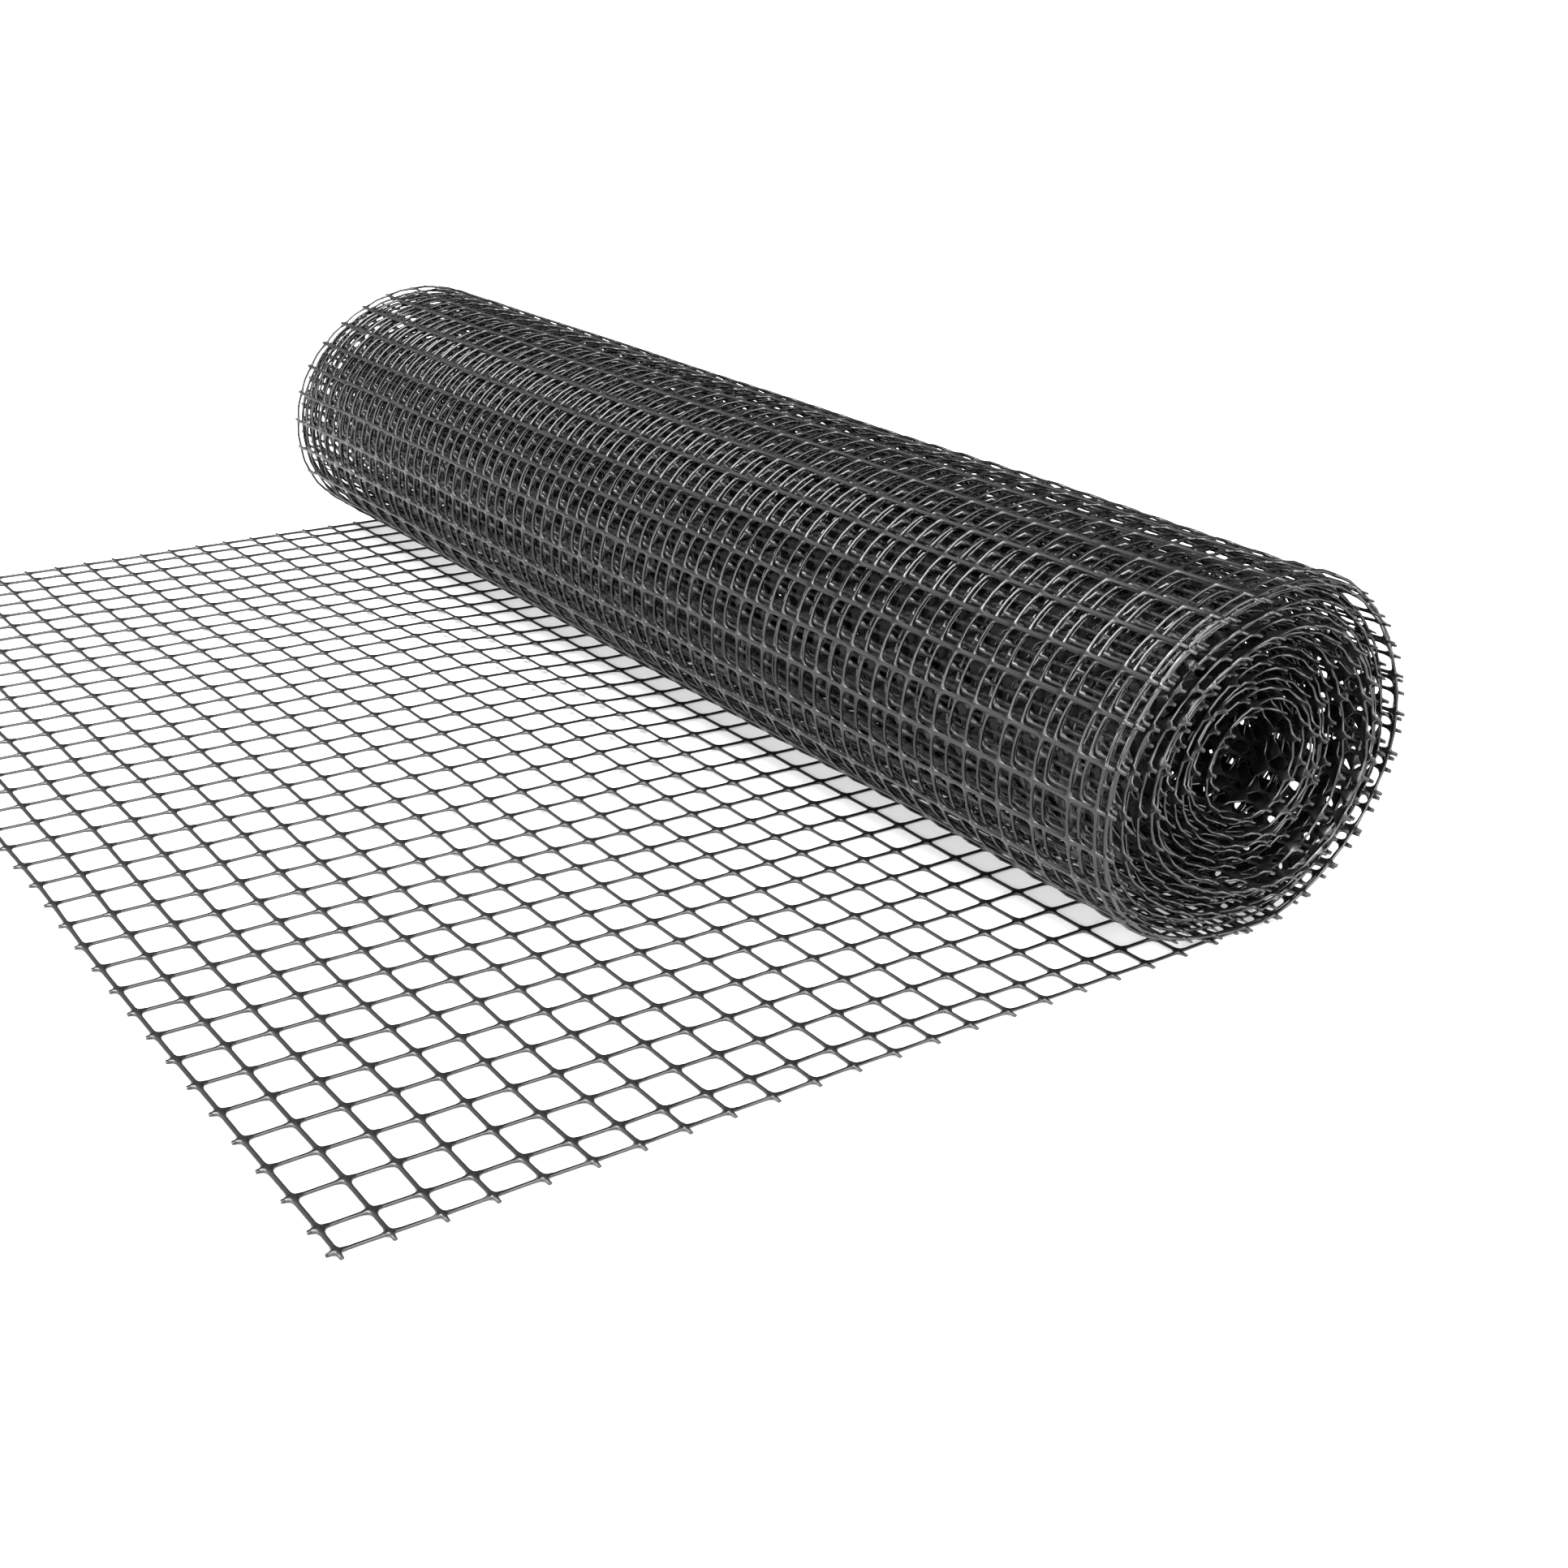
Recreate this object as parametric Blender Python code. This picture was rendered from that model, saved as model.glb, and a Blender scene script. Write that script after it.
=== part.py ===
"""Bird netting roll: a metre-wide roll of stiff plastic mesh net, its loose end run out flat.

The roll lies along X, and its loose end leaves its underside towards -Y. The outermost turn
stands slack behind the roll, so the loose end is one sheet: from its cut edge along the floor,
under the roll, up its back and over to its top, where it joins the winding. The winding is
one solid, open through its middle, with its main twists cut as a spiral groove in both ends.
The origin is below the middle of the whole object, on the floor.
"""

import math

import bmesh
import bpy

# Driving sizes, in metres.
NET_WIDTH = 0.998  # along X, with the rib ends that stand out past both edges
SHEET = 0.002  # one layer of net
GAP = 0.0003  # between the two solids
TAIL_LENGTH = 0.541  # from the cut edge to the line below the middle of the hollow
HOLLOW_HEIGHT = 0.0937  # the middle of the hollow above the floor
TWIST_GROOVE = 0.006  # depth of the spiral groove in the ends
WAVE_HEIGHT = 0.005  # the soft wave along the middle of the tail
WAVE_LENGTH = 0.800
WAVE_CREST = -0.055  # where the wave is highest
WAVE_FLAT = 0.15  # share of a wave's height that is pressed flat to the floor
PRESSED = 0.060  # the tail lies flat this far before the roll
WAVE_RISE = 0.120  # and its wave grows over the next stretch

# The winding, seen along its axis: how far the net's middle is from the middle of the hollow
# each time that it passes behind, above, before and below it. Turn 0 is the slack outermost
# one, and the last row is the innermost. Heel and toe are the powers that shape the lower
# quarters behind and before the hollow: 1 is round, and less is fuller.
TURN_COLUMNS = ("turn", "behind", "above", "before", "below", "heel", "toe")
TURN_TABLE = (
    (0, 0.0984, 0.1080, 0.1270, 0.0927, 1.10, 0.83),
    (1, 0.0958, 0.1056, 0.1246, 0.0902, 1.10, 0.83),
    (2, 0.0918, 0.1032, 0.1222, 0.0877, 1.18, 0.84),
    (3, 0.0890, 0.1006, 0.1196, 0.0851, 1.20, 0.85),
    (4, 0.0860, 0.0978, 0.1164, 0.0824, 1.18, 0.86),
    (5, 0.0825, 0.0942, 0.1120, 0.0795, 1.16, 0.88),
    (7, 0.0742, 0.0860, 0.1000, 0.0725, 1.12, 0.92),
    (9, 0.0655, 0.0765, 0.0872, 0.0640, 1.08, 0.95),
    (12, 0.0522, 0.0605, 0.0676, 0.0512, 1.04, 1.00),
    (15, 0.0388, 0.0425, 0.0478, 0.0382, 1.00, 1.00),
    (18, 0.0255, 0.0245, 0.0290, 0.0255, 1.00, 1.00),
)
JOIN_ANGLE = 190  # degrees round from the floor to where the loose end joins the winding
MAIN_TWISTS = 5
STEPS = 72  # facets in a turn
TAIL_STEPS = 18
COLUMNS = 28  # facets across the net on the loose end

DEPTH = TAIL_LENGTH + TURN_TABLE[0][1] + SHEET / 2
CUT_Y = -DEPTH / 2
ROLL_Y = CUT_Y + TAIL_LENGTH
FIRST_TURN = JOIN_ANGLE / 360
LAST_TURN = TURN_TABLE[-1][0]
NET_COLOUR = (0.022, 0.023, 0.024, 1.0)


def clear_scene():
    for old in list(bpy.data.objects):
        bpy.data.objects.remove(old, do_unlink=True)


def plastic(name, roughness):
    """Black moulded plastic."""
    material = bpy.data.materials.new(name)
    material.use_nodes = True
    shader = material.node_tree.nodes["Principled BSDF"]
    shader.inputs["Base Color"].default_value = NET_COLOUR
    shader.inputs["Roughness"].default_value = roughness
    shader.inputs["Metallic"].default_value = 0.0
    return material


def add_object(name, shape, material):
    """Make the finished shape an object, smooth but for its corners."""
    bmesh.ops.recalc_face_normals(shape, faces=shape.faces)
    mesh = bpy.data.meshes.new(name)
    shape.to_mesh(mesh)
    shape.free()
    mesh.shade_smooth()
    mesh.set_sharp_from_angle(angle=math.radians(20))
    mesh.materials.append(material)
    made = bpy.data.objects.new(name, mesh)
    bpy.context.scene.collection.objects.link(made)
    return made


def extent(column, turn):
    """A column of the table at any turn, in straight steps between its rows."""
    place = TURN_COLUMNS.index(column)
    for outer, inner in zip(TURN_TABLE, TURN_TABLE[1:]):
        if turn <= inner[0]:
            break
    share = (turn - outer[0]) / (inner[0] - outer[0])
    share = min(max(share, 0.0), 1.0)
    return outer[place] + (inner[place] - outer[place]) * share


def winding(angle, turn):
    """The net's middle as (y, z). Angle 0 is below the hollow, and a quarter turn behind it."""
    side = math.sin(angle)
    rise = -math.cos(angle)
    if side > 0:
        across = extent("behind", turn - 0.25)
    else:
        across = extent("before", turn - 0.75)
    if rise > 0:
        height = extent("above", turn - 0.5)
        power = 1.0
    else:
        height = extent("below", turn)
        power = extent("heel" if side > 0 else "toe", turn)
    across *= math.copysign(abs(side) ** power, side)
    height *= math.copysign(abs(rise) ** power, rise)
    lowest = SHEET / 2 + round(turn) * (SHEET + GAP)
    return ROLL_Y + across, max(HOLLOW_HEIGHT + height, lowest)


def offset_line(points, distance):
    """Move a line of (y, z) points away from the hollow by a distance, square to itself."""
    moved = []
    last = len(points) - 1
    for place, (y, z) in enumerate(points):
        before = points[max(place - 1, 0)]
        after = points[min(place + 1, last)]
        run_y = after[0] - before[0]
        run_z = after[1] - before[1]
        length = math.hypot(run_y, run_z)
        moved.append((y + distance * run_z / length, z - distance * run_y / length))
    return moved


def main_turn(progress):
    """The real turn at a point of the main twists: the first and last follow single turns."""
    if progress <= 1:
        return FIRST_TURN + progress
    if progress >= MAIN_TWISTS - 1:
        return LAST_TURN - (MAIN_TWISTS - progress)
    share = (progress - 1) / (MAIN_TWISTS - 2)
    start = FIRST_TURN + 1
    return start + (LAST_TURN - 1 - start) * share


def twist_line():
    """The main twists as one spiral of (y, z) points, on the outside and in the hollow."""
    middle = []
    for step in range(MAIN_TWISTS * STEPS + 1):
        progress = step / STEPS
        angle = math.radians(JOIN_ANGLE) + 2 * math.pi * progress
        middle.append(winding(angle, main_turn(progress)))
    outside = offset_line(middle, SHEET / 2)
    inside = offset_line(middle, -SHEET / 2)
    hollow = (MAIN_TWISTS - 1) * STEPS
    return outside[: STEPS + 1] + middle[STEPS + 1 : hollow] + inside[hollow:]


def add_roll_body():
    """The wound net: a spiral-ended tube, made from one end and extruded to the other."""
    shape = bmesh.new()
    end = NET_WIDTH / 2
    line = twist_line()
    ridge = [shape.verts.new((end, y, z)) for y, z in line]
    groove = []
    for near, far in zip(line, line[STEPS:]):
        middle = ((near[0] + far[0]) / 2, (near[1] + far[1]) / 2)
        groove.append(shape.verts.new((end - TWIST_GROOVE, *middle)))
    for step in range(len(groove) - 1):
        shape.faces.new((ridge[step], ridge[step + 1], groove[step + 1], groove[step]))
        inner = step + STEPS
        shape.faces.new((groove[step], groove[step + 1], ridge[inner + 1], ridge[inner]))
    extruded = bmesh.ops.extrude_face_region(shape, geom=shape.faces[:])
    for item in extruded["geom"]:
        if isinstance(item, bmesh.types.BMVert):
            item.co.x = -item.co.x
    return add_object("roll_body", shape, plastic("wound_net", 0.4))


def tail_lift(x, y):
    """How far the tail stands above the floor in its soft wave."""
    wave = 0.5 + 0.5 * math.cos(2 * math.pi * (x - WAVE_CREST) / WAVE_LENGTH)
    free = (ROLL_Y - PRESSED - y) / WAVE_RISE
    free = min(max(free, 0.0), 1.0)
    return WAVE_HEIGHT * max(wave - WAVE_FLAT, 0.0) * free


def loose_line():
    """The loose end's middle as (y, z) points, from its cut edge to where it joins."""
    points = []
    for step in range(TAIL_STEPS):
        points.append((CUT_Y + TAIL_LENGTH * step / TAIL_STEPS, SHEET / 2))
    turns = round(JOIN_ANGLE * STEPS / 360)
    for step in range(turns + 1):
        angle = 2 * math.pi * step / STEPS
        points.append(winding(angle, step / STEPS))
    last_y, last_z = points[-1]
    back_y = points[-2][0] - last_y
    back_z = points[-2][1] - last_z
    share = GAP / math.hypot(back_y, back_z)
    points[-1] = (last_y + back_y * share, last_z + back_z * share)
    return points


def add_loose_end():
    """The tail and the slack outermost turn, one sheet of even thickness."""
    line = loose_line()
    under = offset_line(line, SHEET / 2)
    over = offset_line(line, -SHEET / 2)
    rows = len(line) - 1
    shape = bmesh.new()
    row_of = shape.verts.layers.int.new("row")
    bmesh.ops.create_grid(shape, x_segments=COLUMNS, y_segments=rows, size=0.5)
    for vert in shape.verts:
        vert[row_of] = round((vert.co.y + 0.5) * rows)
    lower = shape.verts[:]
    extruded = bmesh.ops.extrude_face_region(shape, geom=shape.faces[:])
    upper = [item for item in extruded["geom"] if isinstance(item, bmesh.types.BMVert)]
    for skin, verts in ((under, lower), (over, upper)):
        for vert in verts:
            row = vert[row_of]
            x = vert.co.x * NET_WIDTH
            vert.co = (x, skin[row][0], skin[row][1] + tail_lift(x, line[row][0]))
    return add_object("loose_end", shape, plastic("laid_net", 0.4))


if __name__ == "__main__":
    clear_scene()
    add_roll_body()
    add_loose_end()
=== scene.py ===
"""A roll of black plastic mesh net, lying with its loose end run out along the floor.

Each band of net starts as one opening with the half strands round it. It is copied into a
flat band with its true mesh, and the band is then bent onto the route that the net takes:
along the floor, under the roll, and eighteen turns round to the hollow.
"""

import math

import bmesh
import bpy
import numpy as np
from bpy.props import FloatProperty, FloatVectorProperty, IntProperty, PointerProperty
from mathutils import Matrix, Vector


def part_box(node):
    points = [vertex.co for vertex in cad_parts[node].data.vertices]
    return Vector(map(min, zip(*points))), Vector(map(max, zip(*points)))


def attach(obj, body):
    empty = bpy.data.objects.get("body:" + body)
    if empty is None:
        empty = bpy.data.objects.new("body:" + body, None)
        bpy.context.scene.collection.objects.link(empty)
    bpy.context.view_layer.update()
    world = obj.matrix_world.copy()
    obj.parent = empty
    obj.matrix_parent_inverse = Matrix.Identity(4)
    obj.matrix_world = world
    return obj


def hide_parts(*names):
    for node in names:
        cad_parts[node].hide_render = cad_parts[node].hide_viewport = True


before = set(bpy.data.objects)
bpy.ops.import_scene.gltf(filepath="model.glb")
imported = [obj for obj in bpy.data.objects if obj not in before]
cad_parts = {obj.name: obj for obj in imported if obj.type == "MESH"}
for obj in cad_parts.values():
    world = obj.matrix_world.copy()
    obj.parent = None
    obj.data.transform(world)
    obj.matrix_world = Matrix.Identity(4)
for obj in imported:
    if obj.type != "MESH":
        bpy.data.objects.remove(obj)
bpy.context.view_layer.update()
END_LOW, END_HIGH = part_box("loose_end")

bl_info = {
    "name": "Mesh net roll",
    "version": (1, 0, 0),
    "blender": (4, 5, 0),
    "location": "View3D > Sidebar > Net roll",
    "description": "Builds a roll of plastic mesh net with its loose end run out",
    "category": "Object",
}

RIM_MARKS = ("goal_x", "goal_y", "goal_height", "rib")
SAME_POINT = 0.000002  # points nearer than this are one point
WHOLE_TURN = 2 * math.pi
TURN_STEPS = 240  # points on the route in one turn, and along the tail
SOFTENED = 6  # points on each side that even out the route's small corners
TURN_ROOM = 1.15  # room for each turn pressed under the roll, in layers
ROUNDED_SHARE = 0.42  # where a strand's rounding is drawn, from its rim to its middle
RIB_END_SHARE = 0.85  # a rib end's size at its tip
EDGE_HOLD = 0.5  # how much less the net's edges slip than its middle
EDGE_CORNER_SHARE = 0.3  # how rounded the corners past the net's edges are
HELD_EDGE = (0.36, 0.49)  # where the net's edges begin to hold and hold fully, in widths
RIPPLED_EDGE = (0.38, 0.50)  # where the edges' own ripple begins and is full, in widths
WINDING_STARTS = 0.25  # length past the tail over which the net becomes fully wound
SLIP_STARTS = (0.35, 1.05)  # length past the tail where the turns begin to slip, and slip fully
INNER_SLIP_STARTS = (4.0, 6.0)  # net length where the inner turns' own slip begins and is full
RIPPLE_ROOM = (0.004, 0.040)  # heights between which the net gains room to ripple
WAVE_FADES = (0.18, 0.06)  # how far before the roll the tail's wave begins to fade, and ends
WAVE_FLAT = 0.1  # share of the tail's wave that is pressed flat to the floor

# The lengths of the long waves that make the net uneven, and the seed of each set.
STRAY_ALONG = ((0.09, 0.13, 0.21, 0.34), 11)
STRAY_ACROSS = ((0.08, 0.14, 0.22, 0.37), 37)
RIPPLE_WAVES = ((0.11, 0.17, 0.26, 0.41), 23)
EDGE_RIPPLE_WAVES = ((0.05, 0.07, 0.11), 29)
SLIP_WAVES = ((0.97, 1.55, 2.6), 67)
INNER_SLIP_WAVES = ((0.31, 0.53), 43)
FLOOR_REACH = 30.0

# The camera: its place in metres, and its angles in degrees.
CAMERA_PLACE = (1.1476, -0.5701, 0.5010)
CAMERA_AZIMUTH = 54.11
CAMERA_DIP = 23.02
CAMERA_ROLL = 1.32
CAMERA_LENS = 46.53

# How far the net's middle is from the middle of the hollow each time that it passes behind,
# above, before and below it. Turn 0 is the slack outermost one. Heel and toe are the powers
# that shape the lower quarters behind and before the hollow: 1 is round, and less is fuller.
TURN_COLUMNS = ("turn", "behind", "above", "before", "below", "heel", "toe")
TURN_TABLE = (
    (0, 0.0984, 0.1080, 0.1270, 0.0927, 1.10, 0.83),
    (1, 0.0958, 0.1056, 0.1246, 0.0902, 1.10, 0.83),
    (2, 0.0918, 0.1032, 0.1222, 0.0877, 1.18, 0.84),
    (3, 0.0890, 0.1006, 0.1196, 0.0851, 1.20, 0.85),
    (4, 0.0860, 0.0978, 0.1164, 0.0824, 1.18, 0.86),
    (5, 0.0825, 0.0942, 0.1120, 0.0795, 1.16, 0.88),
    (7, 0.0742, 0.0860, 0.1000, 0.0725, 1.12, 0.92),
    (9, 0.0655, 0.0765, 0.0872, 0.0640, 1.08, 0.95),
    (12, 0.0522, 0.0605, 0.0676, 0.0512, 1.04, 1.00),
    (15, 0.0388, 0.0425, 0.0478, 0.0382, 1.00, 1.00),
    (18, 0.0255, 0.0245, 0.0290, 0.0255, 1.00, 1.00),
)

# Each band of net: its name, its first rib and the rib after its last from the cut edge, the
# radius and cuts of its openings' corners, how finely its strands are rounded, and the CAD
# solid that it stands for. The last band ends with the net.
BAND_TABLE = (
    ("net_tail", 0, 22, 0.0040, 3, 1, "loose_end"),
    ("net_slack_turn", 22, 36, 0.0040, 3, 1, "loose_end"),
    ("net_outer_turn", 36, 62, 0.0040, 3, 1, "roll_body"),
    ("net_second_turn", 62, 88, 0.0040, 3, 1, "roll_body"),
    ("net_middle_turns", 88, 172, 0.0055, 2, 0, "roll_body"),
    ("net_inner_turns", 172, 266, 0.0056, 1, 0, "roll_body"),
    ("net_innermost_turns", 266, 0, 0.0056, 1, 0, "roll_body"),
)


class NetSizes(bpy.types.PropertyGroup):
    """Sizes of the mesh."""

    width: FloatProperty(
        name="Net width",
        description="Across the net, over the rib ends",
        default=END_HIGH[0] - END_LOW[0],
        unit="LENGTH",
    )
    across: FloatProperty(
        name="Opening pitch across",
        description="From strand to strand across the net",
        default=0.0271,
        unit="LENGTH",
    )
    along: FloatProperty(
        name="Opening pitch along",
        description="From rib to rib along the net",
        default=0.0240,
        unit="LENGTH",
    )
    columns: IntProperty(
        name="Full openings",
        description="Openings of full width across the net",
        default=35,
    )
    edge_column: FloatProperty(
        name="Edge opening",
        description="Width of the narrower opening along each edge",
        default=0.0192,
        unit="LENGTH",
    )
    strand_width: FloatProperty(
        name="Strand width",
        description="Width of the strands that run along the net",
        default=0.0019,
        unit="LENGTH",
    )
    strand_height: FloatProperty(
        name="Strand thickness",
        description="Thickness of the strands that run along the net",
        default=0.0019,
        unit="LENGTH",
    )
    rib_width: FloatProperty(
        name="Rib width",
        description="Width of the flat ribs that run across the net",
        default=0.0027,
        unit="LENGTH",
    )
    rib_height: FloatProperty(
        name="Rib thickness",
        description="Thickness of the flat ribs that run across the net",
        default=0.0013,
        unit="LENGTH",
    )
    knot_height: FloatProperty(
        name="Crossing thickness",
        description="Thickness where a strand crosses a rib",
        default=0.0023,
        unit="LENGTH",
    )
    cut_end: FloatProperty(
        name="Cut strand ends",
        description="Length of strand left past the first rib",
        default=0.0050,
        unit="LENGTH",
    )
    layer: FloatProperty(
        name="Layer thickness",
        description="Room that one layer of net takes up",
        default=0.0020,
        unit="LENGTH",
    )


class RollSizes(bpy.types.PropertyGroup):
    """Sizes of the winding and of the loose end."""

    tail: FloatProperty(
        name="Tail length",
        description="From the cut edge to the line below the middle of the hollow",
        default=0.541,
        unit="LENGTH",
    )
    hollow_height: FloatProperty(
        name="Hollow height",
        description="Middle of the hollow above the floor",
        default=0.0937,
        unit="LENGTH",
    )
    wave_height: FloatProperty(
        name="Wave height",
        description="Height of the soft wave in the tail",
        default=0.005,
        unit="LENGTH",
    )
    wave_length: FloatProperty(
        name="Wave length",
        description="Length of the tail's soft wave, across the net",
        default=0.800,
        unit="LENGTH",
    )
    wave_crest: FloatProperty(
        name="Wave crest",
        description="Where the tail's wave is highest, across the net",
        default=-0.055,
        unit="LENGTH",
    )
    ripple: FloatProperty(
        name="Ripple",
        description="How unevenly the turns lie on each other",
        default=0.0005,
        unit="LENGTH",
    )
    bow: FloatProperty(
        name="Bow",
        description="How far a wound strand bows out between two ribs",
        default=0.0006,
        unit="LENGTH",
    )
    stray: FloatProperty(
        name="Stray",
        description="How far strands and ribs stray from straight lines",
        default=0.0005,
        unit="LENGTH",
    )
    take_up: FloatProperty(
        name="Take-up",
        description="Share of the wound length taken up, so that the layers' ribs don't line up",
        default=0.018,
        subtype="FACTOR",
    )
    inner_slip: FloatProperty(
        name="Inner slip",
        description="How far the innermost turns slip besides, from turn to turn",
        default=0.008,
        unit="LENGTH",
    )
    telescope: FloatProperty(
        name="Telescoping",
        description="How far the turns slip along the roll's axis",
        default=0.013,
        unit="LENGTH",
    )


class NetFinish(bpy.types.PropertyGroup):
    """Colours and finish of the plastic."""

    strand_colour: FloatVectorProperty(
        name="Strand colour",
        description="Colour of the rounded strands",
        subtype="COLOR",
        size=4,
        default=(0.002, 0.0021, 0.0022, 1.0),
    )
    rib_colour: FloatVectorProperty(
        name="Rib colour",
        description="Colour of the flat ribs",
        subtype="COLOR",
        size=4,
        default=(0.0035, 0.0036, 0.0038, 1.0),
    )
    strand_roughness: FloatProperty(
        name="Strand roughness",
        description="Gloss of the drawn strands",
        default=0.14,
        subtype="FACTOR",
    )
    rib_roughness: FloatProperty(
        name="Rib roughness",
        description="Gloss of the flat ribs",
        default=0.42,
        subtype="FACTOR",
    )
    gloss: FloatProperty(
        name="Mirror strength",
        description="Refraction index of the plastic's glossy skin",
        default=1.48,
    )


class StageLook(bpy.types.PropertyGroup):
    """Floor, lights and camera."""

    floor_colour: FloatVectorProperty(
        name="Floor colour",
        description="Colour of the plain floor",
        subtype="COLOR",
        size=4,
        default=(0.45, 0.45, 0.45, 1.0),
    )
    floor_glow: FloatProperty(
        name="Floor glow",
        description="Light that the table gives off by itself",
        default=0.40,
    )
    sky: FloatProperty(
        name="Room light",
        description="Strength of the even light from all round",
        default=0.30,
    )
    key: FloatProperty(
        name="Key light",
        description="Strength of the broad soft light from above",
        default=12.0,
    )
    key_spread: FloatProperty(
        name="Key spread",
        description="How wide the key light looks from the roll",
        default=0.66,
        subtype="ANGLE",
    )
    key_lean: FloatProperty(
        name="Key lean",
        description="How far the key light leans to the tail's side",
        default=0.30,
        subtype="ANGLE",
    )
    side: FloatProperty(
        name="Side light",
        description="Strength of the soft light from beyond the roll's near end",
        default=11.0,
    )
    side_spread: FloatProperty(
        name="Side spread",
        description="How wide the side light looks from the roll",
        default=1.2,
        subtype="ANGLE",
    )
    side_lean: FloatProperty(
        name="Side lean",
        description="How far the side light leans from straight above",
        default=1.15,
        subtype="ANGLE",
    )
    low: FloatProperty(
        name="Low light",
        description="Strength of the low soft light from beyond the tail's cut edge",
        default=5.0,
    )
    low_spread: FloatProperty(
        name="Low spread",
        description="How wide the low light looks from the roll",
        default=0.7,
        subtype="ANGLE",
    )
    low_lean: FloatProperty(
        name="Low lean",
        description="How far the low light leans from straight above",
        default=1.25,
        subtype="ANGLE",
    )


def net_sizes():
    """The mesh's sizes, as set in the panel."""
    return bpy.context.scene.net_sizes


def roll_sizes():
    """The winding's sizes, as set in the panel."""
    return bpy.context.scene.roll_sizes


# ---------------------------------------------------------------- the net's route


def cut_y():
    """Where the tail's cut edge lies."""
    return END_LOW[1]


def roll_y():
    """The line below the middle of the hollow."""
    return cut_y() + roll_sizes().tail


def extent(column, turn):
    """A column of the table at any turn, in straight steps between its rows."""
    place = TURN_COLUMNS.index(column)
    turns = [row[0] for row in TURN_TABLE]
    return float(np.interp(turn, turns, [row[place] for row in TURN_TABLE]))


def winding(turn):
    """The net's middle as (y, z) at a turn, counted from below the hollow and round its back."""
    roll, net = roll_sizes(), net_sizes()
    angle = WHOLE_TURN * turn
    side, rise = math.sin(angle), -math.cos(angle)
    if side > 0:
        across = extent("behind", turn - 0.25)
    else:
        across = extent("before", turn - 0.75)
    if rise > 0:
        height = extent("above", turn - 0.5)
        power = 1.0
    else:
        height = extent("below", turn)
        power = extent("heel" if side > 0 else "toe", turn)
    across *= math.copysign(abs(side) ** power, side)
    height *= math.copysign(abs(rise) ** power, rise)
    lowest = net.knot_height / 2 + round(turn) * net.layer * TURN_ROOM
    return roll_y() + across, max(roll.hollow_height + height, lowest)


def soften(values, reach):
    """Even out a line's small corners, with its ends kept."""
    window = np.hanning(2 * reach + 3)[1:-1]
    padded = np.pad(values, reach, mode="edge")
    return np.convolve(padded, window / window.sum(), mode="valid")


def net_route():
    """The net's middle from its cut edge to the hollow: length run, y, z and upward normal."""
    last_turn = TURN_TABLE[-1][0]
    turns = np.linspace(0, last_turn, last_turn * TURN_STEPS + 1)
    wound = np.array([winding(turn) for turn in turns])
    flat_y = np.linspace(cut_y(), roll_y(), TURN_STEPS, endpoint=False)
    flat = np.stack([flat_y, np.full_like(flat_y, net_sizes().knot_height / 2)], axis=1)
    line = np.concatenate([flat, wound])
    # The tail stays flat and the net's inner end stays put.
    line[300:-8, 0] = soften(line[:, 0], SOFTENED)[300:-8]
    line[200:-8, 1] = soften(line[:, 1], SOFTENED)[200:-8]
    step = np.diff(line, axis=0)
    run = np.concatenate([[0.0], np.cumsum(np.hypot(step[:, 0], step[:, 1]))])
    heading = np.gradient(line, axis=0)
    heading /= np.linalg.norm(heading, axis=1)[:, None]
    return {"run": run, "y": line[:, 0], "z": line[:, 1], "ny": -heading[:, 1], "nz": heading[:, 0]}


def waves(x, run, size, lengths, seed):
    """A seeded sum of long waves over the flat net, from about -size to size."""
    chance = np.random.default_rng(seed)
    total = np.zeros_like(x)
    for length in lengths:
        turned = chance.uniform(0, WHOLE_TURN)
        phase = chance.uniform(0, WHOLE_TURN)
        lean_x, lean_run = math.cos(turned) / length, math.sin(turned) / length
        total += np.sin(WHOLE_TURN * (x * lean_x + run * lean_run) + phase)
    return size * total / math.sqrt(len(lengths))


def smooth_step(values, start, end):
    """From 0 at start to 1 at end, with soft ends."""
    share = np.clip((values - start) / (end - start), 0.0, 1.0)
    return share * share * (3 - 2 * share)


def tail_lift(x, y):
    """How far the tail stands above the floor in its soft wave."""
    roll = roll_sizes()
    wave = 0.5 + 0.5 * np.cos(WHOLE_TURN * (x - roll.wave_crest) / roll.wave_length)
    free = 1 - smooth_step(y, roll_y() - WAVE_FADES[0], roll_y() - WAVE_FADES[1])
    return roll.wave_height * smooth_step(wave, WAVE_FLAT, 1.0) * free


def net_length(route):
    """The whole net's length, with what is taken up in the winding."""
    roll = roll_sizes()
    return roll.tail + (route["run"][-1] - roll.tail) / (1 - roll.take_up)


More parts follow.
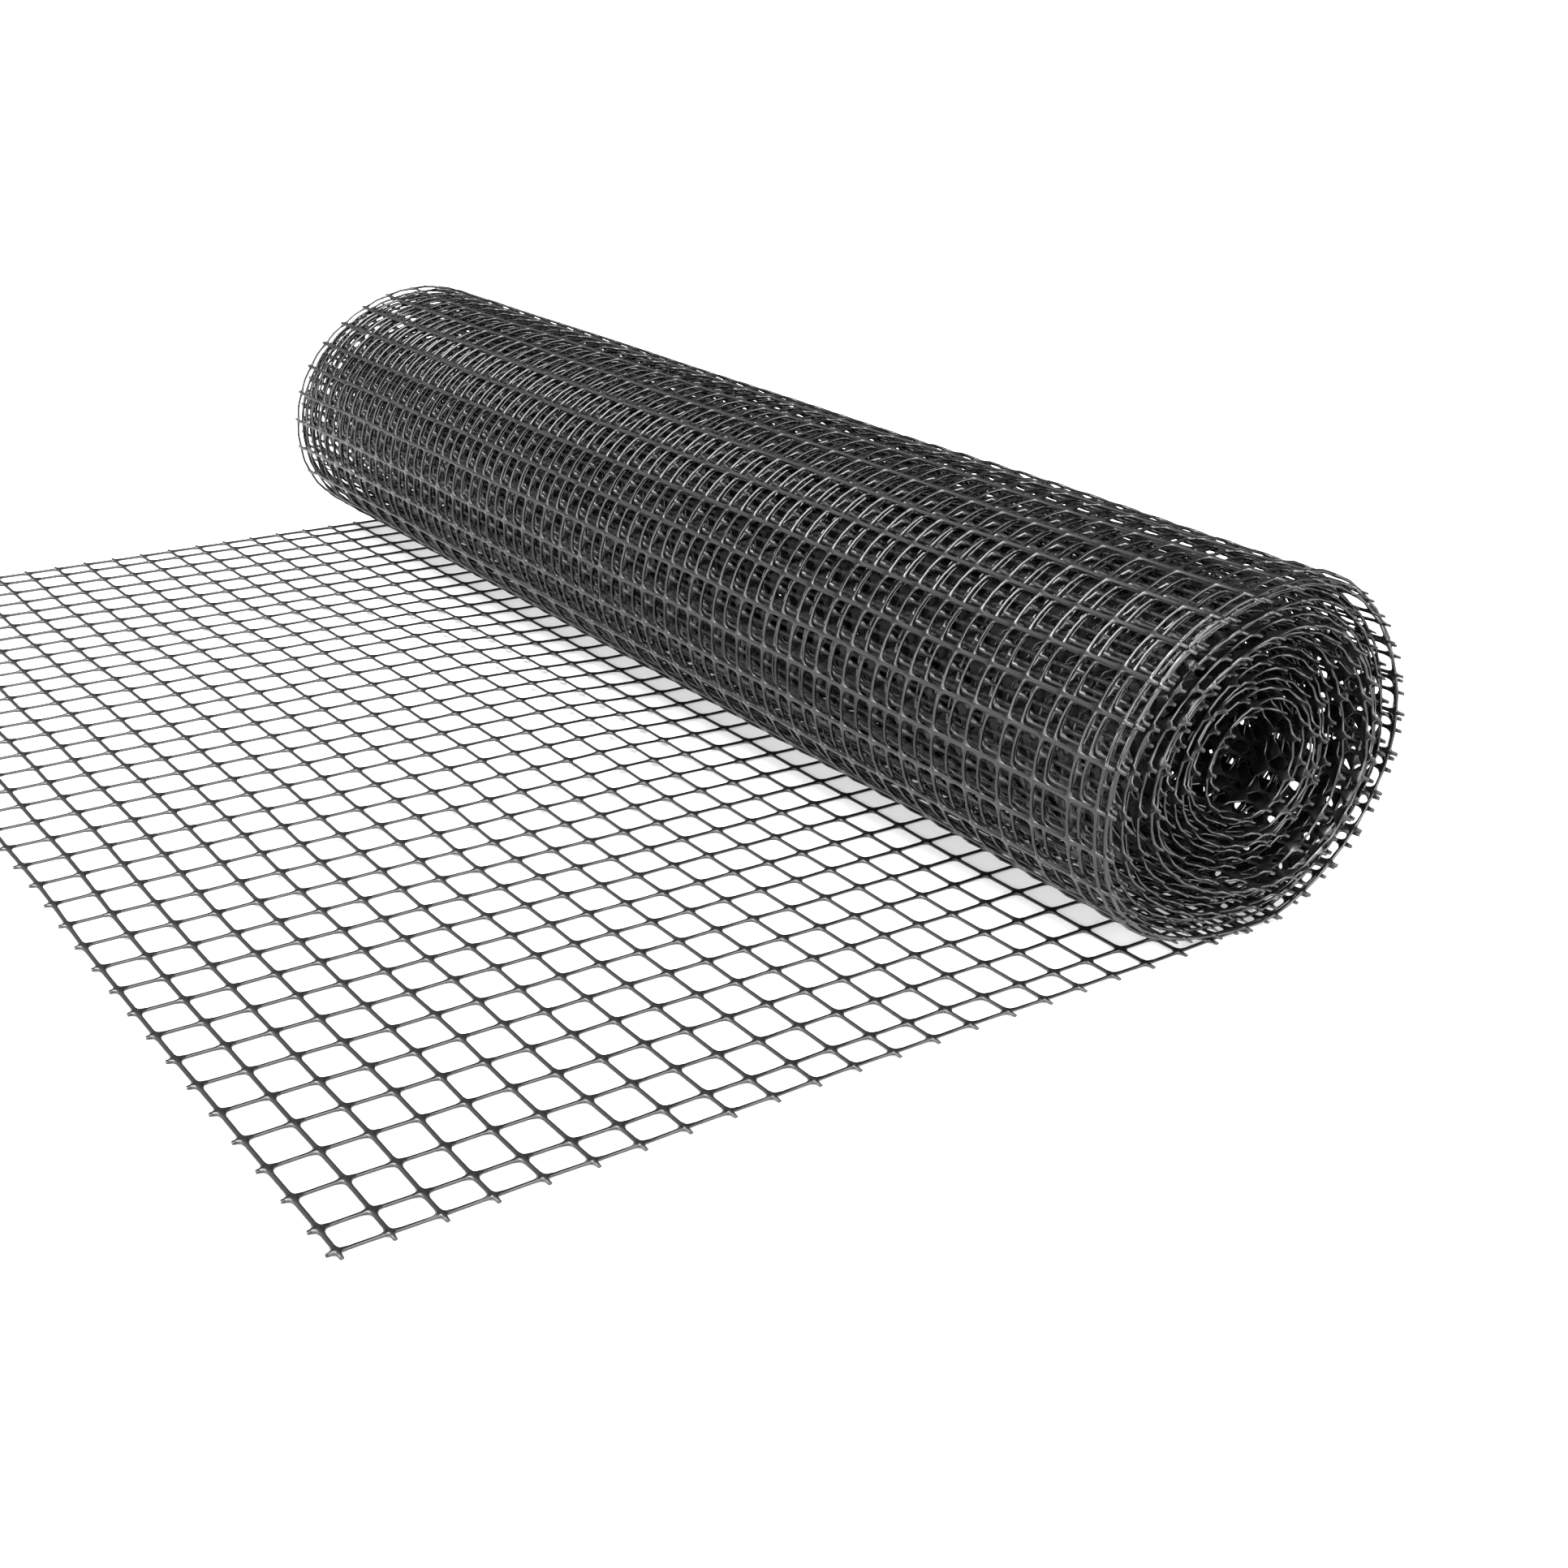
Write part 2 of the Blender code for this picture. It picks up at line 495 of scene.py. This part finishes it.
def bend(flat):
    """Carry points of the flat band (x, run, thickness) onto the net's route."""
    net, roll = net_sizes(), roll_sizes()
    route = net_route()
    x, run, thick = flat[:, 0], flat[:, 1], flat[:, 2]
    wound = smooth_step(run, roll.tail, roll.tail + WINDING_STARTS)
    run_at = run + waves(x, run, roll.stray, *STRAY_ALONG)
    run_at -= roll.take_up * np.maximum(run_at - roll.tail, 0.0)
    run_at = np.clip(run_at, 0.0, route["run"][-1])
    y = np.interp(run_at, route["run"], route["y"])
    z = np.interp(run_at, route["run"], route["z"])
    ny = np.interp(run_at, route["run"], route["ny"])
    nz = np.interp(run_at, route["run"], route["nz"])
    over = run - np.clip(run, 0.0, net_length(route))
    y = y + over
    edge = smooth_step(np.abs(x), RIPPLED_EDGE[0] * net.width, RIPPLED_EDGE[1] * net.width)
    room = wound * smooth_step(z, *RIPPLE_ROOM)
    ripple = waves(x, run, roll.ripple, *RIPPLE_WAVES)
    ripple += edge * waves(x, run, roll.ripple, *EDGE_RIPPLE_WAVES)
    between_ribs = np.sin(math.pi * (run - net.cut_end) / net.along) ** 2
    lift = thick + (ripple - roll.bow * between_ribs) * room
    x_at = x + waves(x, run, roll.stray, *STRAY_ACROSS)
    held = smooth_step(np.abs(x), HELD_EDGE[0] * net.width, HELD_EDGE[1] * net.width)
    free = 1 - EDGE_HOLD * held
    slipped = smooth_step(run, roll.tail + SLIP_STARTS[0], roll.tail + SLIP_STARTS[1])
    x_at += free * slipped * waves(0 * x, run, roll.telescope, *SLIP_WAVES)
    slipped = smooth_step(run, *INNER_SLIP_STARTS)
    x_at += free * slipped * waves(0 * x, run, roll.inner_slip, *INNER_SLIP_WAVES)
    z_at = z + nz * lift + tail_lift(x, y) * (1 - wound) * (run < roll.tail)
    return np.stack([x_at, y + ny * lift, z_at], axis=1)


# ---------------------------------------------------------------- the mesh


def mark_rim(shape, width):
    """Give each point of an opening's rim its place and height at the middle of its strand."""
    net = net_sizes()
    half_x, half_y = width / 2, net.along / 2
    rim_x, rim_y = half_x - net.strand_width / 2, half_y - net.rib_width / 2
    for name in RIM_MARKS:
        shape.verts.layers.float.new(name)
    layers = [shape.verts.layers.float[name] for name in RIM_MARKS]
    for vert in shape.verts:
        x, y = vert.co.x, vert.co.y
        if abs(x) > rim_x - SAME_POINT:
            marks = (math.copysign(half_x, x), y, net.strand_height / 2, 0.0)
        elif abs(y) > rim_y - SAME_POINT:
            marks = (x, math.copysign(half_y, y), net.rib_height / 2, 1.0)
        else:
            marks = (math.copysign(half_x, x), math.copysign(half_y, y), net.knot_height / 2, 0.5)
        for layer, mark in zip(layers, marks):
            vert[layer] = mark
    return layers


def make_opening(width, corner, corner_cuts, rounding):
    """One opening with half of each strand and rib round it, its middle at the origin."""
    net = net_sizes()
    shape = bmesh.new()
    bmesh.ops.create_grid(shape, x_segments=1, y_segments=1, size=0.5)
    open_size = (width - net.strand_width, net.along - net.rib_width, 1)
    bmesh.ops.scale(shape, vec=open_size, verts=shape.verts)
    bmesh.ops.bevel(
        shape,
        geom=shape.verts[:],
        offset=corner,
        segments=corner_cuts,
        profile=0.5,
        affect="VERTICES",
        material=-1,
    )
    bmesh.ops.delete(shape, geom=shape.faces[:], context="FACES_ONLY")
    goal_x, goal_y, height, rib = mark_rim(shape, width)
    rim = shape.edges[:]
    for share in (ROUNDED_SHARE, 1.0)[1 - rounding :]:
        grown = bmesh.ops.extrude_edge_only(shape, edges=rim)["geom"]
        rim = [item for item in grown if isinstance(item, bmesh.types.BMEdge)]
        rim = [edge for edge in rim if edge.is_boundary]
        for vert in {vert for edge in rim for vert in edge.verts}:
            fullness = 2.0 + 1.5 * vert[rib]
            rounded = (1 - (1 - share) ** fullness) ** (1 / fullness)
            vert.co.x += (vert[goal_x] - vert.co.x) * share
            vert.co.y += (vert[goal_y] - vert.co.y) * share
            vert.co.z = vert[height] * rounded
    everything = shape.verts[:] + shape.edges[:] + shape.faces[:]
    bmesh.ops.bisect_plane(
        shape, geom=everything, dist=SAME_POINT, plane_co=(0, 0, 0), plane_no=(0, 1, 0)
    )
    everything = shape.verts[:] + shape.edges[:] + shape.faces[:]
    bmesh.ops.mirror(shape, geom=everything, axis="Z", merge_dist=SAME_POINT)
    for name in RIM_MARKS[:-1]:
        shape.verts.layers.float.remove(shape.verts.layers.float[name])
    return shape


def columns():
    """Each opening's middle, width and share of rounding, with a sharp one past each edge."""
    net = net_sizes()
    full = net.columns * net.across / 2
    for place in range(net.columns):
        yield (place + 0.5) * net.across - full, net.across, 1.0
    for side in (-1, 1):
        yield side * (full + net.edge_column / 2), net.edge_column, 1.0
        yield side * (full + net.edge_column + net.across / 2), net.across, EDGE_CORNER_SHARE


def make_strip(corner, corner_cuts, rounding):
    """One row of openings across the net, as a mesh."""
    strip = bmesh.new()
    for middle, width, corner_share in columns():
        shape = make_opening(width, corner * corner_share, corner_cuts, rounding)
        bmesh.ops.translate(shape, vec=(middle, 0, 0), verts=shape.verts)
        step = bpy.data.meshes.new("opening")
        shape.to_mesh(step)
        shape.free()
        strip.from_mesh(step)
        bpy.data.meshes.remove(step)
    bmesh.ops.remove_doubles(strip, verts=strip.verts, dist=SAME_POINT)
    mesh = bpy.data.meshes.new("strip")
    strip.to_mesh(mesh)
    strip.free()
    return mesh


def repeat_strip(mesh, rows):
    """The strip repeated along the net, its rows joined, as a new bmesh."""
    holder = bpy.data.objects.new("strip", mesh)
    bpy.context.scene.collection.objects.link(holder)
    array = holder.modifiers.new("rows", "ARRAY")
    array.count = rows
    array.use_relative_offset = False
    array.use_constant_offset = True
    array.constant_offset_displace = (0, net_sizes().along, 0)
    array.use_merge_vertices = True
    array.merge_threshold = SAME_POINT
    depsgraph = bpy.context.evaluated_depsgraph_get()
    repeated = bpy.data.meshes.new_from_object(holder.evaluated_get(depsgraph))
    bpy.data.objects.remove(holder)
    band = bmesh.new()
    band.from_mesh(repeated)
    bpy.data.meshes.remove(repeated)
    bpy.data.meshes.remove(mesh)
    return band


def trim(band, place, outward):
    """Cut the band off square at a place."""
    everything = band.verts[:] + band.edges[:] + band.faces[:]
    bmesh.ops.bisect_plane(
        band,
        geom=everything,
        dist=SAME_POINT,
        plane_co=place,
        plane_no=outward,
        clear_outer=True,
    )


def last_rib():
    """How many ribs the whole length of net holds."""
    net = net_sizes()
    return int((net_length(net_route()) - net.cut_end) / net.along)


def make_band(name, first, last, corner, corner_cuts, rounding):
    """A band of net from one rib to another, bent onto the route."""
    net = net_sizes()
    whole = last == 0
    if whole:
        last = last_rib()
    band = repeat_strip(make_strip(corner, corner_cuts, rounding), last - first + 1)
    start = net.cut_end + (first - 0.5) * net.along
    bmesh.ops.translate(band, vec=(0, start, 0), verts=band.verts)
    end = net.cut_end + (last - 0.5) * net.along
    if whole:
        end = (last - 1) * net.along + 2 * net.cut_end
    trim(band, (0, max(start, 0.0), 0), (0, -1, 0))
    trim(band, (0, end, 0), (0, 1, 0))
    half = net.width / 2
    trim(band, (half, 0, 0), (1, 0, 0))
    trim(band, (-half, 0, 0), (-1, 0, 0))
    taper_rib_ends(band)
    open_edges = [edge for edge in band.edges if edge.is_boundary]
    bmesh.ops.holes_fill(band, edges=open_edges, sides=0)
    bmesh.ops.recalc_face_normals(band, faces=band.faces)
    mesh = bpy.data.meshes.new(name)
    band.to_mesh(mesh)
    band.free()
    points = np.empty(len(mesh.vertices) * 3)
    mesh.vertices.foreach_get("co", points)
    mesh.vertices.foreach_set("co", bend(points.reshape(-1, 3)).ravel())
    mesh.update()
    mesh.shade_smooth()
    made = bpy.data.objects.new(name, mesh)
    bpy.context.scene.collection.objects.link(made)
    return made, (last - first) * net.along


def taper_rib_ends(band):
    """Draw the rib ends that stand out past both edges in to blunt points."""
    net = net_sizes()
    for vert in band.verts:
        if abs(vert.co.x) > net.width / 2 - SAME_POINT:
            rib = round((vert.co.y - net.cut_end) / net.along) * net.along + net.cut_end
            vert.co.y = rib + (vert.co.y - rib) * RIB_END_SHARE
            vert.co.z *= RIB_END_SHARE


# ---------------------------------------------------------------- the plastic


def add_node(tree, kind, **values):
    """A new node with its inputs set by name."""
    node = tree.nodes.new(kind)
    for name, value in values.items():
        node.inputs[name.replace("_", " ")].default_value = value
    return node


def net_plastic():
    """Black drawn plastic: glossy strands, duller and greyer flat ribs."""
    name = "black_net_plastic"
    if name in bpy.data.materials:
        return bpy.data.materials[name]
    finish = bpy.context.scene.net_finish
    material = bpy.data.materials.new(name)
    material.use_nodes = True
    tree = material.node_tree
    link = tree.links.new
    shader = tree.nodes["Principled BSDF"]
    rib = tree.nodes.new("ShaderNodeAttribute")
    rib.attribute_name = "rib"
    place = tree.nodes.new("ShaderNodeTexCoord")
    patches = add_node(tree, "ShaderNodeTexNoise", Scale=26.0, Detail=3.0)
    link(place.outputs["Object"], patches.inputs["Vector"])
    shader.inputs["IOR"].default_value = finish.gloss
    colour = tree.nodes.new("ShaderNodeMix")
    colour.data_type = "RGBA"
    colour.inputs["A"].default_value = finish.strand_colour
    colour.inputs["B"].default_value = finish.rib_colour
    link(rib.outputs["Fac"], colour.inputs["Factor"])
    link(colour.outputs["Result"], shader.inputs["Base Color"])
    gloss = tree.nodes.new("ShaderNodeMapRange")
    gloss.inputs["To Min"].default_value = finish.strand_roughness
    gloss.inputs["To Max"].default_value = finish.rib_roughness
    link(rib.outputs["Fac"], gloss.inputs["Value"])
    worn = tree.nodes.new("ShaderNodeMath")
    worn.operation = "MULTIPLY_ADD"
    worn.inputs[1].default_value = 0.12
    link(patches.outputs["Fac"], worn.inputs[0])
    link(gloss.outputs["Result"], worn.inputs[2])
    link(worn.outputs["Value"], shader.inputs["Roughness"])
    grain = add_node(tree, "ShaderNodeTexNoise", Scale=900.0, Detail=2.0)
    link(place.outputs["Object"], grain.inputs["Vector"])
    bump = add_node(tree, "ShaderNodeBump", Strength=0.25, Distance=0.0002)
    link(grain.outputs["Fac"], bump.inputs["Height"])
    link(bump.outputs["Normal"], shader.inputs["Normal"])
    return material


def plain_material(name, colour, roughness):
    """One colour and one roughness all over."""
    material = bpy.data.materials.new(name)
    material.use_nodes = True
    shader = material.node_tree.nodes["Principled BSDF"]
    shader.inputs["Base Color"].default_value = colour
    shader.inputs["Roughness"].default_value = roughness
    return material


# ---------------------------------------------------------------- operators


def add_bands(names):
    """Make the named bands of net, hang them under the root body and hide the CAD solids that they
    stand for.
    """
    for row in BAND_TABLE:
        name, first, last, corner, corner_cuts, rounding, solid = row
        if name not in names:
            continue
        made, length = make_band(name, first, last, corner, corner_cuts, rounding)
        made.data.materials.append(net_plastic())
        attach(made, "root")
        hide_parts(solid)


class NETROLL_OT_tail(bpy.types.Operator):
    """Lay the loose end along the floor"""

    bl_idname = "netroll.tail"
    bl_label = "Tail"

    def execute(self, context):
        add_bands(("net_tail",))
        return {"FINISHED"}


class NETROLL_OT_outer_turns(bpy.types.Operator):
    """Wind the slack turn and the outer turns, finely rounded"""

    bl_idname = "netroll.outer_turns"
    bl_label = "Outer turns"

    def execute(self, context):
        add_bands(("net_slack_turn", "net_outer_turn", "net_second_turn"))
        return {"FINISHED"}


class NETROLL_OT_inner_turns(bpy.types.Operator):
    """Wind the inner turns down to the hollow"""

    bl_idname = "netroll.inner_turns"
    bl_label = "Inner turns"

    def execute(self, context):
        add_bands(("net_middle_turns", "net_inner_turns", "net_innermost_turns"))
        return {"FINISHED"}


def add_light(name, energy, spread, lean):
    """A far, broad, soft light, leaning from straight above about X and about Y."""
    light = bpy.data.lights.new(name, "SUN")
    light.energy = energy
    light.angle = spread
    made = bpy.data.objects.new(name, light)
    made.rotation_euler = (*lean, 0)
    bpy.context.scene.collection.objects.link(made)


def add_floor(look):
    """The plain pale table, which glows a little."""
    shape = bmesh.new()
    bmesh.ops.create_grid(shape, x_segments=1, y_segments=1, size=FLOOR_REACH)
    mesh = bpy.data.meshes.new("floor")
    shape.to_mesh(mesh)
    shape.free()
    floor_skin = plain_material("pale_floor", look.floor_colour, 0.9)
    shader = floor_skin.node_tree.nodes["Principled BSDF"]
    shader.inputs["Emission Color"].default_value = (1.0, 1.0, 1.0, 1.0)
    shader.inputs["Emission Strength"].default_value = look.floor_glow
    mesh.materials.append(floor_skin)
    floor = bpy.data.objects.new("floor", mesh)
    bpy.context.scene.collection.objects.link(floor)


def add_camera():
    """The camera before the tail's near corner, turned to look over the tail at the roll."""
    data = bpy.data.cameras.new("camera")
    data.sensor_width = 36.0
    data.lens = CAMERA_LENS
    camera = bpy.data.objects.new("camera", data)
    turn = Matrix.Rotation(math.radians(CAMERA_AZIMUTH), 4, "Z")
    tilt = Matrix.Rotation(math.radians(90 - CAMERA_DIP), 4, "X")
    roll = Matrix.Rotation(math.radians(CAMERA_ROLL), 4, "Z")
    camera.matrix_world = Matrix.Translation(CAMERA_PLACE) @ turn @ tilt @ roll
    bpy.context.scene.collection.objects.link(camera)
    bpy.context.scene.camera = camera


class NETROLL_OT_stage(bpy.types.Operator):
    """Set the floor, the lights and the camera"""

    bl_idname = "netroll.stage"
    bl_label = "Stage"

    def execute(self, context):
        look = context.scene.stage_look
        add_floor(look)
        add_light("key", look.key, look.key_spread, (look.key_lean, 0))
        add_light("side", look.side, look.side_spread, (0, look.side_lean))
        add_light("low", look.low, look.low_spread, (look.low_lean, 0))
        world = bpy.data.worlds.new("room")
        world.use_nodes = True
        background = world.node_tree.nodes["Background"]
        background.inputs["Color"].default_value = (1.0, 1.0, 1.0, 1.0)
        background.inputs["Strength"].default_value = look.sky
        context.scene.world = world
        context.scene.view_settings.view_transform = "Standard"
        add_camera()
        return {"FINISHED"}


class NETROLL_PT_panel(bpy.types.Panel):
    """The roll's pieces and sizes"""

    bl_idname = "NETROLL_PT_panel"
    bl_label = "Net roll"
    bl_space_type = "VIEW_3D"
    bl_region_type = "UI"
    bl_category = "Net roll"

    def draw(self, context):
        for group in GROUPS:
            box = self.layout.box()
            for name in group.__annotations__:
                box.prop(getattr(context.scene, GROUPS[group]), name)
        for operator in OPERATORS:
            self.layout.operator(operator.bl_idname)


GROUPS = {
    NetSizes: "net_sizes",
    RollSizes: "roll_sizes",
    NetFinish: "net_finish",
    StageLook: "stage_look",
}
OPERATORS = (NETROLL_OT_tail, NETROLL_OT_outer_turns, NETROLL_OT_inner_turns, NETROLL_OT_stage)


def register():
    for group, name in GROUPS.items():
        bpy.utils.register_class(group)
        setattr(bpy.types.Scene, name, PointerProperty(type=group))
    for operator in OPERATORS:
        bpy.utils.register_class(operator)
    bpy.utils.register_class(NETROLL_PT_panel)


def unregister():
    bpy.utils.unregister_class(NETROLL_PT_panel)
    for operator in reversed(OPERATORS):
        bpy.utils.unregister_class(operator)
    for group, name in reversed(GROUPS.items()):
        delattr(bpy.types.Scene, name)
        bpy.utils.unregister_class(group)


def main():
    register()
    bpy.ops.netroll.stage()
    bpy.ops.netroll.tail()
    bpy.ops.netroll.outer_turns()
    bpy.ops.netroll.inner_turns()


if __name__ == "__main__":
    main()
